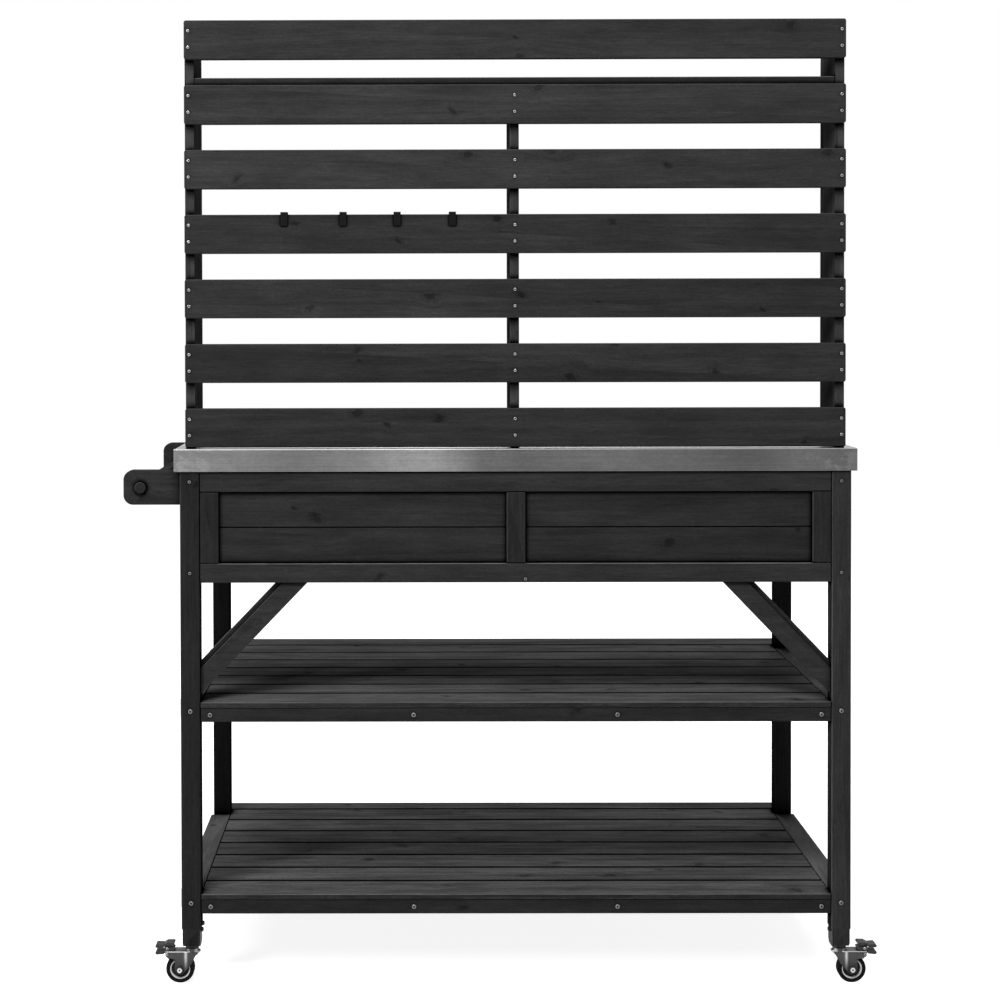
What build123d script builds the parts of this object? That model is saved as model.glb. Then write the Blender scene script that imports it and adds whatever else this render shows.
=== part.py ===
from build123d import *
import math
import os

os.makedirs("parts", exist_ok=True)

# Potting bench in black-stained softwood. Millimetres, +Z up, floor at Z = 0.
# -Y is the closed back with the slats and braces, +Y the working front with the
# drawers, -X the end with the push handle. Origin: centre of the overall footprint.

# ---------------------------------------------------------------- driving sizes
# leg frame
leg = 34.0                  # side of the square legs
arris = 1.2                 # planed-off corner of every timber
seam = 0.6                  # gap between boards laid edge to edge
face_set = 1.0              # rails sit this far behind the leg faces

# worktop
top_w = 1200.0
top_d = 632.0
top_h = 40.0                # height of the folded edge
top_level = 947.0           # height of the working surface
top_end_over = 10.0         # worktop past the end faces of the legs
top_back_over = 2.4         # and past their back faces
top_front_over = 79.6       # and past their front faces
sheet = 1.2
sheet_bend = 2.4            # outside bend radius of the folded edge
core_board = 18.0           # board under the sheet
core_edge_w = 60.0          # stiffening edge round the board's underside

# apron round the worktop
rail_top_h = 36.0
rail_bot_h = 34.0
rail_t = 22.0
apron_h = 196.0             # from the worktop down to the bottom rail's underside
panel_t = 10.0
panel_set = 6.0             # panel's face behind the rails' faces
batten_w = 33.0
batten_shift = 1.5          # the middle batten stands this far off the bench's middle
end_board_t = 18.0

# corner braces
brace_w = 31.0              # proud face of the brace
brace_lip = 9.0             # rebated edge along its upper side
brace_lip_set = 8.0
brace_t = 22.0
brace_set = 9.0             # behind the leg faces
brace_run = 169.0           # centre line's meeting point with the apron, from the leg
brace_drop = 176.0          # and with the leg, below the apron

# shelves
deck_t = 10.0
deck_board = 77.0
deck_gap = 2.5
deck_rail_h = 25.0
deck_rail_t = 20.0
deck_bearer_w = 34.0
deck_side_out = 5.0         # side rails stand proud of the legs' outer faces
low_deck = 160.5            # top of the lower shelf
low_deck_in = 25.6          # its front edge, behind the worktop's
mid_deck = 500.0
mid_deck_in = 0.6

# slatted back
slat_n = 7
slat_end_in = 10.0          # slat ends inside the end faces of the legs
slat_h = 68.5
slat_t = 16.0
slat_over = 9.0             # the top slat rises past the uprights
slat_lift = 2.5             # the lowest slat clears the worktop
slat_corner = 4.0
upright_t = 16.0
upright_d = 120.0
upright_h = 743.0
upright_in = 0.5            # uprights' outer faces past the slat ends
upright_nose = 55.0         # rounded front top corner of the side uprights
shelf_drop = 90.0           # top shelf below the uprights' tops
shelf_t = 16.0

# hooks
hook_slat = 3               # counted from the top slat = 0
hook_w = 12.4
hook_t = 1.8
hook_fit = 0.4              # clearance round the slat
hook_rise = 2.5             # the strap stands off the slat's top edge
hook_back = 20.0            # the clip's short back leg
hook_shank = 44.0           # straight front leg below the slat's top
hook_bend = 10.0            # inside radius of the J
hook_tip = 12.0             # straight tip above the bend
hook_in = (175.0, 278.5, 373.5, 470.5)      # hooks' middles, from the slats' handle end

# push handle at the left end
handle_out = 104.5          # plates past the end face of the legs
handle_plate_h = 61.5
handle_plate_t = 18.0
handle_corner = 17.0
handle_shoulder = 11.5      # the front plate rises past the worktop's end
handle_gap = 2.0
bar_d = 20.0
bar_proud = 8.0
bar_in = 30.5               # bar centre from the plates' end
wood_fit = 0.1

# drawers
drawer_gap = 1.5            # round the inset fronts
drawer_front_t = 18.0
drawer_side_t = 12.0
drawer_side_h = 100.0
drawer_bottom_t = 5.0
drawer_bottom_up = 6.0      # bottom board above the sides' lower edges
drawer_back_gap = 44.0      # from the closed back to the box
drawer_clear = 9.0          # beside the box
drawer_over = 3.0           # between the box and the kickers
slide_fit = 0.3
runner_w = 24.0
runner_h = 15.0
runner_up = 4.0             # runners above the bottom rail
knob_d = 32.0
knob_len = 24.0
knob_neck = 11.0            # diameter of the knob's neck
knob_neck_l = 6.0
knob_rim = 3.0              # straight rim between the cone and the dome
knob_dome = 7.0

# casters: bracket and swivel
socket_t = 2.5              # steel of the U bracket
socket_rebate = 4.1         # depth of the rebates in the leg
socket_h = 29.5             # ears above the leg's foot
socket_side = 0.5           # ears inside the leg's width
socket_neck = 20.0          # narrowed part under the leg's foot
socket_neck_h = 4.5
race_d = 25.0               # raceway ring under the bracket
race_h = 5.0
swivel_gap = 0.35
kingpin_d = 8.0
kingpin_head_d = 13.0
kingpin_head_h = 2.2
run_fit = 0.05              # radial running clearance of pins and axles

# casters: wheel
wheel_d = 50.0
wheel_w = 18.0
tyre_t = 7.2
tyre_round = 3.0
rim_t = 1.8
rim_in = 1.0                # rim's faces inside the tyre's
web_t = 7.0
hub_r = 8.0
hub_in = 1.5                # hub's faces inside the tyre's
spacer_r = 5.2
spacer_gap = 0.5            # hub spacer to the fork arm

# casters: fork, pressed from one sheet
trail = 21.0                # axle behind the swivel axis
fork_sheet = 2.0
fork_side = 1.8             # between an arm and the tyre
fork_top_gap = 5.25         # between the top plate and the tyre
fork_nose = 15.0            # the nose ahead of the swivel axis
fork_nose_r = 9.0
fork_bend = 7.0             # ahead of this the arms close in to the nose
fork_bend_r = 8.0
fork_edge_r = 2.4           # pressed edge between the top plate and the arms
fork_plate = 36.0           # rear end of the top plate
fork_chin = (9.0, 7.25)     # lower corner of the nose, behind and below its lip
fork_knee = (20.0, 9.0)     # corner of the arm's front edge, ahead of and above the axle
fork_root = (8.5, 18.0)     # corner of its rear edge, behind and above the axle
fork_lug = (4.7, 6.7)       # lug's corner, behind and below the lever's pin
fork_lug_cut = 3.0
crown_d = 24.0              # raised ring of the fork round the kingpin
crown_rise = 3.4
axle_d = 6.0
axle_boss_r = 8.8           # rounded end of the fork arms
nut_af = 9.5
nut_h = 4.0

# casters: brake lever with its moulded caps
pedal_pin_d = 4.0
pedal_pin_x = 41.8          # pivot of the lever, from the swivel axis
pedal_pin_drop = 4.05       # below the fork's top
pedal_pin_head = 1.2
lever_t = 2.0
lever_side = 1.8            # between the lever and an arm
lever_web = 4.7             # upright web behind the pin
lever_boss = 1.8            # wall round the pin
toe_back = 6.0              # thickness of the toe behind the pin's line
brake_gap = 0.9             # toe off the tyre
pedal_tip = 64.5            # tread ends, from the swivel axis
pedal_heel = 31.0           # inner ends of the raised heels
lock_rise = 1.0             # lock tread's middle above the pin
tread_rise = 11.9           # release tread above the lock tread
lock_heel_rise = 6.2        # heels above their treads
free_heel_rise = 3.5
tip_r = 3.0                 # rounded tip of a tread
root_r = 2.2                # its thinner root
heel_r = 2.3
cap_wall = 1.5              # caps past the sides of the lever
cap_bite = 6.0              # plate ends inside the tread tips
heel_bite = 3.0             # and inside the heels

# screws
screw_head_d = 6.6
screw_head_h = 1.8
socket_screw_d = 8.2
socket_screw_h = 4.6
socket_screw_collar = 2.8
head_taper = 35.0           # bevel of the heads, in degrees
ear_screw_up = (24.5, 35.5)  # above the leg's foot
deck_screw_drop = 16.0      # leg screws below the decks
odd_screw = (18.0, 6.0)     # off the bench's middle, above the apron's lower edge
slat_screw_low = 0.69       # the two screws of a slat joint, as parts of its height
slat_screw_high = 0.27

# ------------------------------------------------------------ derived positions
legs_w = top_w - 2 * top_end_over
legs_d = top_d - top_back_over - top_front_over
leg_in = legs_w / 2 - leg           # inner leg faces, from mid bench
leg_mid = legs_w / 2 - leg / 2      # leg centres, from mid bench
handle_reach = legs_w / 2 + handle_out
x_mid = (handle_reach - leg_mid - pedal_tip) / 2
y_back = -top_d / 2 + top_back_over          # back faces of the legs
y_front = y_back + legs_d
top_under = top_level - top_h
apron_low = top_under - apron_h
panel_low = apron_low + rail_bot_h
panel_high = top_under - rail_top_h
upright_top = top_level + upright_h
slat_l = legs_w - 2 * slat_end_in
slat_top = upright_top + slat_over
slat_pitch = (slat_top - slat_h - top_level - slat_lift) / (slat_n - 1)
slat_face = y_back
upright_y = (slat_face + slat_t, slat_face + slat_t + upright_d)
shelf_top = upright_top - shelf_drop

# the casters stack up from the floor to the leg's foot
wheel_r = wheel_d / 2
fork_in = wheel_w + 2 * fork_side
fork_low = wheel_d + fork_top_gap
fork_high = fork_low + fork_sheet
crown_high = fork_high + crown_rise
race_low = crown_high + swivel_gap
base_low = race_low + race_h
leg_foot = base_low + socket_t
socket_out = leg / 2 - socket_rebate + socket_t
socket_w = leg - 2 * socket_side
lever_w = fork_in - 2 * lever_side
pedal_pin_z = fork_high - pedal_pin_drop
lock_z = pedal_pin_z + lock_rise
free_z = lock_z + tread_rise
treads_z = (lock_z, free_z)
heels_z = (lock_z + lock_heel_rise, free_z + free_heel_rise)


def both(x):
    """The two mirrored places of a size measured from mid bench."""
    return (x_mid - x, x_mid + x)


def mid(limits):
    return (limits[0] + limits[1]) / 2


def span(limits):
    return limits[1] - limits[0]


def timbers(pieces, edge=arris):
    """Straight timbers, each given by its limits in X, Y and Z, with planed arrises."""
    with BuildPart() as group:
        for x, y, z in pieces:
            with BuildSketch(Plane.XY.offset(z[0])):
                with Locations((mid(x), mid(y))):
                    Rectangle(span(x), span(y))
            extrude(amount=span(z))
        chamfer(group.edges(), edge)
    return group


def keep(piece, name):
    """Names the piece and writes it to its own file."""
    piece.part.label = name
    export_step(piece.part, f"parts/{name}.step")


# ------------------------------------------------------------------------- legs
def make_leg(x, y):
    """Square leg, rebated on both X faces at the foot for the caster's U bracket."""
    with BuildPart() as post:
        with BuildSketch(Plane.XY.offset(leg_foot)):
            with Locations((x, y)):
                Rectangle(leg, leg)
        extrude(amount=top_under - leg_foot)
        chamfer(post.edges().filter_by(Axis.Z), arris)
        with BuildSketch(Plane.XY.offset(leg_foot)):
            for side in (-1, 1):
                with Locations((x + side * (leg - socket_rebate) / 2, y)):
                    Rectangle(socket_rebate, leg)
        extrude(amount=socket_h + wood_fit, mode=Mode.SUBTRACT)
    return post


leg_x = dict(zip(("left", "right"), both(leg_mid)))
leg_y = {"back": y_back + leg / 2, "front": y_front - leg / 2}
for row in leg_y:
    for end in leg_x:
        keep(make_leg(leg_x[end], leg_y[row]), f"leg_{row}_{end}")

# ------------------------------------------------------------------------ apron
between = both(leg_in - seam)
y_back_rail = (y_back + face_set, y_back + face_set + rail_t)
y_front_rail = (y_front - face_set - rail_t, y_front - face_set)
rails_y = (y_back_rail, y_front_rail)
top_rail_z = (panel_high, top_under)
bottom_rail_z = (apron_low, panel_low)
keep(timbers([(between, y, top_rail_z) for y in rails_y]), "apron_top_rails")
keep(timbers([(between, y, bottom_rail_z) for y in rails_y]), "apron_bottom_rails")

# two boards close the back, sunk behind the rails' faces
y_panel = (y_back_rail[0] + panel_set, y_back_rail[0] + panel_set + panel_t)
panel_mid = (panel_low + panel_high) / 2
panels = [(panel_low + seam / 2, panel_mid - seam / 2), (panel_mid + seam / 2, panel_high - seam / 2)]
keep(timbers([(between, y_panel, z) for z in panels]), "back_panel_boards")

# battens stand on the panel, flush with the rails
y_batten = (y_back_rail[0], y_panel[0])
batten_x = leg_in - seam - batten_w / 2
batten_mids = (x_mid - batten_x, x_mid + batten_shift, x_mid + batten_x)
batten_z = (panel_low + seam / 2, panel_high - seam / 2)
battens = [((x - batten_w / 2, x + batten_w / 2), y_batten, batten_z) for x in batten_mids]
keep(timbers(battens), "back_battens")

# the handle's back plate stands between the back leg and the end boards
y_ends = (y_back + leg + handle_plate_t + seam, y_front - leg - seam)
end_mid = (apron_low + top_under) / 2
end_zs = ((apron_low, end_mid - seam / 2), (end_mid + seam / 2, top_under))
end_faces = both(legs_w / 2)
end_xs = ((end_faces[0], end_faces[0] + end_board_t), (end_faces[1] - end_board_t, end_faces[1]))
keep(timbers([(x, y_ends, z) for x in end_xs for z in end_zs]), "end_panels")


# ----------------------------------------------------------------------- braces
def make_braces():
    """Two mirrored braces from the bottom rail to the back legs, cut flush at both ends."""
    length = math.hypot(brace_run, brace_drop)
    along = (brace_run / length, brace_drop / length)
    over = 3 * brace_w
    out = (-along[1], along[0])
    low = -brace_w / 2
    high = brace_w / 2
    with BuildPart() as pair:
        for side in (-1, 1):
            def point(t, across):
                """A point of the elevation, t along the centre line from the leg."""
                x = leg_in - along[0] * t - out[0] * across
                return (x_mid + side * x, apron_low - brace_drop + along[1] * t + out[1] * across)

            for step, edges in ((0.0, (low, high)), (brace_lip_set, (low, high + brace_lip))):
                with BuildSketch(Plane.XZ.offset(-(y_back + brace_set + step))):
                    with BuildLine():
                        Polyline(point(-over, edges[0]), point(length + over, edges[0]),
                                 point(length + over, edges[1]), point(-over, edges[1]), close=True)
                    make_face()
                    # the ends are cut flush with the leg and the rail
                    with Locations((x_mid + side * (leg_in - seam) / 2, apron_low - seam - brace_drop)):
                        Rectangle(leg_in - seam, 2 * brace_drop, mode=Mode.INTERSECT)
                extrude(amount=step - brace_t)
    return pair


keep(make_braces(), "corner_braces")

# ------------------------------------------------------------------ front frame
x_div = (x_mid - leg / 2, x_mid + leg / 2)
drawer_z = (panel_low, panel_high)
keep(timbers([(x_div, (y_front - face_set - leg, y_front - face_set), drawer_z)]), "drawer_divider")

# runners under the box sides and kickers over them, from the back rail to the front rail
y_run = (y_back_rail[1] + seam, y_front_rail[0] - seam)
runner_top = panel_low + runner_up
kicker_low = runner_top + slide_fit + drawer_side_h + drawer_over
bays = ((between[0], x_div[0]), (x_div[1], between[1]))
strips = []
for bay in bays:
    for x in ((bay[0], bay[0] + runner_w), (bay[1] - runner_w, bay[1])):
        strips.append((x, y_run, (runner_top - runner_h, runner_top)))
y_mid_run = (y_run[0], y_front - face_set - leg - seam)
kickers = ((between[0], y_run), (x_mid - runner_w / 2, y_mid_run), (between[1] - runner_w, y_run))
for x, y in kickers:
    strips.append(((x, x + runner_w), y, (kicker_low, kicker_low + runner_h)))
keep(timbers(strips), "drawer_runners")

# ---------------------------------------------------------------------- drawers
for name, bay in zip(("left", "right"), bays):
    front_x = (bay[0] + drawer_gap, bay[1] - drawer_gap)
    front_y = (y_front - face_set - drawer_front_t, y_front - face_set)
    front_z = (drawer_z[0] + drawer_gap, drawer_z[1] - drawer_gap)
    box_x = (bay[0] + drawer_clear, bay[1] - drawer_clear)
    box_y = (y_panel[1] + drawer_back_gap, front_y[0])
    box_z = (runner_top + slide_fit, runner_top + slide_fit + drawer_side_h)
    keep(timbers([(front_x, front_y, front_z)]), f"drawer_front_{name}")

    with BuildPart() as box:
        with BuildSketch(Plane.XY.offset(box_z[0])):
            with Locations((mid(box_x), mid(box_y))):
                Rectangle(span(box_x), span(box_y))
        extrude(amount=drawer_side_h)
        with BuildSketch(Plane.XY.offset(box_z[0] + drawer_bottom_up + drawer_bottom_t)):
            with Locations((mid(box_x), mid(box_y))):
                Rectangle(span(box_x) - 2 * drawer_side_t, span(box_y) - 2 * drawer_side_t)
        extrude(amount=drawer_side_h, mode=Mode.SUBTRACT)
        with BuildSketch(Plane.XY.offset(box_z[0])):
            with Locations((mid(box_x), mid(box_y))):
                Rectangle(span(box_x) - 2 * drawer_side_t, span(box_y) - 2 * drawer_side_t)
        extrude(amount=drawer_bottom_up, mode=Mode.SUBTRACT)
    keep(box, f"drawer_box_{name}")

    centre = (mid(front_x), front_y[1], mid(front_z))
    shoulder = knob_len - knob_dome
    dome_r = ((knob_d / 2) ** 2 + knob_dome ** 2) / (2 * knob_dome)
    with BuildPart() as knob:
        with BuildSketch(Plane(origin=centre, x_dir=(1, 0, 0), z_dir=(0, 0, 1))):
            with BuildLine():
                Polyline((0, knob_len), (0, 0), (knob_neck / 2, 0), (knob_neck / 2, knob_neck_l),
                         (knob_d / 2, shoulder - knob_rim), (knob_d / 2, shoulder))
                RadiusArc((knob_d / 2, shoulder), (0, knob_len), -dome_r)
            make_face()
        revolve(axis=Axis(centre, (0, 1, 0)))
    keep(knob, f"drawer_knob_{name}")

# ---------------------------------------------------------------------- worktop
with BuildPart() as tray:
    with BuildSketch(Plane.XY.offset(top_under)):
        with Locations((x_mid, 0)):
            Rectangle(top_w, top_d)
    extrude(amount=top_h)
    fillet(tray.edges().group_by(Axis.Z)[-1], sheet_bend)
    with BuildSketch(Plane.XY.offset(top_under)):
        with Locations((x_mid, 0)):
            Rectangle(top_w - 2 * sheet, top_d - 2 * sheet)
    extrude(amount=top_h - sheet, mode=Mode.SUBTRACT)
keep(tray, "worktop_sheet")

with BuildPart() as core:
    core_w = top_w - 2 * sheet - 2 * seam
    core_d = top_d - 2 * sheet - 2 * seam
    with BuildSketch(Plane.XY.offset(top_under)):
        with Locations((x_mid, 0)):
            Rectangle(core_w, core_d)
    extrude(amount=top_h - sheet)
    with BuildSketch(Plane.XY.offset(top_under)):
        with Locations((x_mid, 0)):
            Rectangle(core_w - 2 * core_edge_w, core_d - 2 * core_edge_w)
    extrude(amount=top_h - sheet - core_board, mode=Mode.SUBTRACT)
keep(core, "worktop_core")

# ----------------------------------------------------------------------- handle
bar_x = x_mid - handle_reach + bar_in
bar_z = top_under - handle_plate_h / 2
plate_ends = (x_mid - handle_reach, x_mid - leg_in)
plate_ys = (y_back + leg, y_front)
with BuildPart() as plates:
    for y, shoulder in zip(plate_ys, (0.0, handle_shoulder)):
        with BuildSketch(Plane.XZ.offset(-y)) as outline:
            with Locations((mid(plate_ends), bar_z)):
                Rectangle(span(plate_ends), handle_plate_h)
            if shoulder:
                outer = (plate_ends[0], x_mid - top_w / 2 - handle_gap)
                with Locations((mid(outer), top_under + shoulder / 2)):
                    Rectangle(span(outer), shoulder)
            fillet(outline.vertices().group_by(Axis.X)[0], handle_corner)
            with Locations((bar_x, bar_z)):
                Circle(bar_d / 2 + wood_fit, mode=Mode.SUBTRACT)
        extrude(amount=-handle_plate_t)
keep(plates, "handle_plates")

with BuildPart() as bar:
    with BuildSketch(Plane.XZ.offset(-(plate_ys[0] - bar_proud))):
        with Locations((bar_x, bar_z)):
            Circle(bar_d / 2)
    extrude(amount=-(span(plate_ys) + handle_plate_t + 2 * bar_proud))
    chamfer(bar.edges().filter_by(GeomType.CIRCLE), arris)
keep(bar, "handle_bar")


# ---------------------------------------------------------------------- shelves
bearer_steps = (-1, -1 / 3, 1 / 3, 1)        # places of the cross bearers, end to end
across = both(legs_w / 2)                    # what clears the front legs is as long as the frame is wide


def make_shelf(name, level, front):
    """Boards along X on two long rails and four cross bearers, side rails flush with the boards."""
    under = level - deck_t
    low = under - deck_rail_h
    pitch = deck_board + deck_gap
    boards = []
    start = 0.0
    while start < front - deck_gap:
        end = min(start + deck_board, front)
        clear = y_back + start >= y_front + seam
        boards.append((across if clear else between, (y_back + start, y_back + end), (under, level)))
        start += pitch
    keep(timbers(boards), f"{name}_shelf_boards")

    y_near = (y_back + face_set, y_back + face_set + deck_rail_t)
    y_far = (y_back + front - face_set - deck_rail_t, y_back + front - face_set)
    clear = y_far[0] >= y_front + seam
    rails = [(between, y_near, (low, under)), (across if clear else between, y_far, (low, under))]
    keep(timbers(rails), f"{name}_shelf_rails")

    first = leg_in - seam - deck_bearer_w / 2
    y_between = (y_near[1] + seam, y_far[0] - seam)
    members = []
    for step in bearer_steps:
        x = x_mid + step * first
        members.append(((x - deck_bearer_w / 2, x + deck_bearer_w / 2), y_between, (low, under)))
    y_side = (y_back + leg + seam, y_front - leg - seam)
    for side, x in zip((-1, 1), both(leg_mid)):
        faces = sorted((x - side * leg / 2, x + side * (leg / 2 + deck_side_out)))
        members.append((faces, y_side, (low, level)))
    keep(timbers(members), f"{name}_shelf_bearers")


make_shelf("lower", low_deck, top_d - top_back_over - low_deck_in)
make_shelf("middle", mid_deck, top_d - top_back_over - mid_deck_in)

# ----------------------------------------------------------------- slatted back
slat_tops = [slat_top - i * slat_pitch for i in range(slat_n)]
with BuildPart() as slats:
    for top in slat_tops:
        with BuildSketch(Plane.XZ.offset(-slat_face)):
            with Locations((x_mid, top - slat_h / 2)):
                RectangleRounded(slat_l, slat_h, slat_corner)
        extrude(amount=-slat_t)
    rims = slats.edges().filter_by(Plane.XZ)
    chamfer(rims, arris)
keep(slats, "backrest_slats")

side_mids = both(slat_l / 2 - upright_t / 2 + upright_in)
side_x = [(x - upright_t / 2, x + upright_t / 2) for x in side_mids]
with BuildPart() as sides:
    for x in side_x:
        with BuildSketch(Plane.YZ.offset(x[0])) as board:
            with Locations((mid(upright_y), (top_level + upright_top) / 2)):
                Rectangle(upright_d, upright_top - top_level)
            corner = board.vertices().sort_by(lambda v: v.Y + v.X)[-1]
            fillet(corner, upright_nose)
        extrude(amount=upright_t)
keep(sides, "hutch_sides")

middle_z = (top_level, shelf_top - shelf_t)
middle_x = (x_mid - upright_t / 2, x_mid + upright_t / 2)
keep(timbers([(middle_x, upright_y, middle_z)]), "hutch_middle")

shelf_x = (side_x[0][1] + seam, side_x[1][0] - seam)
keep(timbers([(shelf_x, upright_y, (shelf_top - shelf_t, shelf_top))]), "top_shelf")

# ------------------------------------------------------------------------ hooks
# flat strap bent over the slat: short back leg, strap over the top, front leg and J
hook_edge = slat_tops[hook_slat]
for number, place in enumerate(hook_in, start=1):
    y_in = slat_face - hook_fit
    y_out = slat_face + slat_t + hook_fit
    z_over = hook_edge + hook_rise
    z_bend = hook_edge - hook_shank
    y_tip = y_out + hook_t + 2 * hook_bend
    with BuildPart() as hook:
        with BuildSketch(Plane.YZ.offset(x_mid - slat_l / 2 + place - hook_w / 2)):
            with BuildLine():
                Line((y_in - hook_t, hook_edge - hook_back), (y_in - hook_t, z_over + hook_t))
                Line((y_in - hook_t, z_over + hook_t), (y_out + hook_t, z_over + hook_t))
                Line((y_out + hook_t, z_over + hook_t), (y_out + hook_t, z_bend))
                CenterArc((y_out + hook_t + hook_bend, z_bend), hook_bend, 180, 180)
                Line((y_tip, z_bend), (y_tip, z_bend + hook_tip))
                Line((y_tip, z_bend + hook_tip), (y_tip + hook_t, z_bend + hook_tip))
                Line((y_tip + hook_t, z_bend + hook_tip), (y_tip + hook_t, z_bend))
                CenterArc((y_out + hook_t + hook_bend, z_bend), hook_bend + hook_t, 180, 180)
                Line((y_out, z_bend), (y_out, z_over))
                Line((y_out, z_over), (y_in, z_over))
                Line((y_in, z_over), (y_in, hook_edge - hook_back))
                Line((y_in, hook_edge - hook_back), (y_in - hook_t, hook_edge - hook_back))
            make_face()
        extrude(amount=hook_w)
    keep(hook, f"hook_{number}")


# ---------------------------------------------------------------------- casters
def make_sockets():
    """U brackets let into the legs, each with its raceway ring and kingpin hole."""
    with BuildPart() as group:
        for x in leg_x.values():
            for y in leg_y.values():
                with BuildSketch(Plane.XY.offset(base_low)):
                    with Locations((x, y)):
                        Rectangle(2 * socket_out, socket_neck)
                extrude(amount=socket_t)
                for side in (-1, 1):
                    face = Plane(origin=(x + side * (socket_out - socket_t), y, leg_foot),
                                 x_dir=(0, side, 0), z_dir=(side, 0, 0))
                    with BuildSketch(face):
                        with BuildLine():
                            Polyline((-socket_neck / 2, -socket_t), (socket_neck / 2, -socket_t),
                                     (socket_w / 2, socket_neck_h), (socket_w / 2, socket_h),
                                     (-socket_w / 2, socket_h), (-socket_w / 2, socket_neck_h), close=True)
                        make_face()
                    extrude(amount=socket_t)
                with BuildSketch(Plane.XY.offset(base_low)):
                    with Locations((x, y)):
                        Circle(race_d / 2)
                extrude(amount=-race_h, taper=10)
                with BuildSketch(Plane.XY.offset(race_low)):
                    with Locations((x, y)):
                        Circle(kingpin_d / 2 + wood_fit)
                extrude(amount=race_h + socket_t, mode=Mode.SUBTRACT)
    return group


def make_kingpins():
    """Riveted pins that hang the forks from the brackets."""
    head = fork_low - swivel_gap
    with BuildPart() as group:
        for x in leg_x.values():
            for y in leg_y.values():
                with BuildSketch(Plane.XY.offset(head - kingpin_head_h)):
                    with Locations((x, y)):
                        Circle(kingpin_head_d / 2)
                extrude(amount=kingpin_head_h)
                with BuildSketch(Plane.XY.offset(head)):
                    with Locations((x, y)):
                        Circle(kingpin_d / 2)
                extrude(amount=leg_foot - head)
    return group


keep(make_sockets(), "caster_sockets")
keep(make_kingpins(), "caster_kingpins")


def side_plane(x, y, heading):
    """Elevation through the swivel axis: local X along the trail, local Y up."""
    t = (math.cos(math.radians(heading)), math.sin(math.radians(heading)), 0)
    return Plane(origin=(x, y, 0), x_dir=t, z_dir=(t[1], -t[0], 0))


def plan_plane(x, y, heading, z):
    """Plan at a height: local X along the trail, origin on the swivel axis."""
    t = (math.cos(math.radians(heading)), math.sin(math.radians(heading)), 0)
    return Plane(origin=(x, y, z), x_dir=t, z_dir=(0, 0, 1))


def touch(point, centre, radius, turn):
    """Where a line from the point touches a circle, on its left (1) or right (-1) side."""
    dx = point[0] - centre[0]
    dy = point[1] - centre[1]
    angle = math.atan2(dy, dx) + turn * math.acos(radius / math.hypot(dx, dy))
    return (centre[0] + radius * math.cos(angle), centre[1] + radius * math.sin(angle))


def make_fork(x, y, heading, braked):
    """Fork pressed from one sheet: top plate, rounded nose and two arms that narrow to the axle."""
    elevation = side_plane(x, y, heading)
    rearward = Axis(elevation.origin, elevation.x_dir)
    half = fork_in / 2 + fork_sheet
    nose_x = fork_nose_r - fork_nose
    lug = (pedal_pin_x + fork_lug[0], pedal_pin_z - fork_lug[1])
    blank_end = lug[0] + 4 * fork_sheet
    foot = wheel_r - axle_boss_r
    nose_touch = touch((fork_bend, half), (nose_x, 0), fork_nose_r, 1)
    plan = plan_plane(x, y, heading, foot)

    axle = (trail, wheel_r)
    chin = (fork_chin[0] - fork_nose, fork_low - fork_chin[1])
    knee = (trail - fork_knee[0], wheel_r + fork_knee[1])
    root = (trail + fork_root[0], wheel_r + fork_root[1])
    front_touch = touch(knee, axle, axle_boss_r, 1)
    rear_touch = touch(root, axle, axle_boss_r, -1)
    with BuildPart() as fork:
        with BuildSketch(plan):
            with BuildLine():
                FilletPolyline((blank_end, half), (fork_bend, half), nose_touch, radius=fork_bend_r)
                ThreePointArc(nose_touch, (-fork_nose, 0), (nose_touch[0], -nose_touch[1]))
                FilletPolyline((nose_touch[0], -nose_touch[1]), (fork_bend, -half), (blank_end, -half),
                               radius=fork_bend_r)
                Line((blank_end, -half), (blank_end, half))
            make_face()
        extrude(amount=fork_high - foot)
        top_edges = fork.faces().sort_by(Axis.Z)[-1].edges()
        fillet(top_edges.sort_by(rearward)[:-1], fork_edge_r)
        under = fork.faces().sort_by(Axis.Z)[0]
        tail = fork.faces().sort_by(rearward)[-1]
        offset(amount=-fork_sheet, openings=[under, tail])

        # the sheet is trimmed to the side elevation
        with BuildSketch(elevation):
            with BuildLine():
                Polyline((-fork_nose, fork_high), (-fork_nose, fork_low), chin, knee, front_touch)
                ThreePointArc(front_touch, (trail, foot), rear_touch)
                Polyline(rear_touch, root, (lug[0] - fork_lug_cut, lug[1]), (lug[0], lug[1] + fork_lug_cut),
                         (lug[0], fork_high), (-fork_nose, fork_high))
            make_face()
        extrude(amount=2 * half, both=True, mode=Mode.INTERSECT)
        with BuildSketch(plan_plane(x, y, heading, pedal_pin_z)):
            with Locations((fork_plate, 0)):
                Rectangle(blank_end, fork_in, align=(Align.MIN, Align.CENTER))
        extrude(amount=fork_high, mode=Mode.SUBTRACT)

        # raised ring with the pin's hole, then the holes of the axle and the lever's pin
        with BuildSketch(Plane.XY.offset(fork_low)):
            with Locations((x, y)):
                Circle(crown_d / 2)
        extrude(amount=crown_rise + fork_sheet, taper=8)
        with BuildSketch(Plane.XY.offset(fork_low)):
            with Locations((x, y)):
                Circle(kingpin_d / 2 + run_fit)
        extrude(amount=crown_rise + fork_sheet, mode=Mode.SUBTRACT)
        with BuildSketch(elevation):
            with Locations(axle):
                Circle(axle_d / 2 + wood_fit / 2)
            if braked:
                with Locations((pedal_pin_x, pedal_pin_z)):
                    Circle(pedal_pin_d / 2 + run_fit)
        extrude(amount=2 * half, both=True, mode=Mode.SUBTRACT)
    return fork


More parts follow.
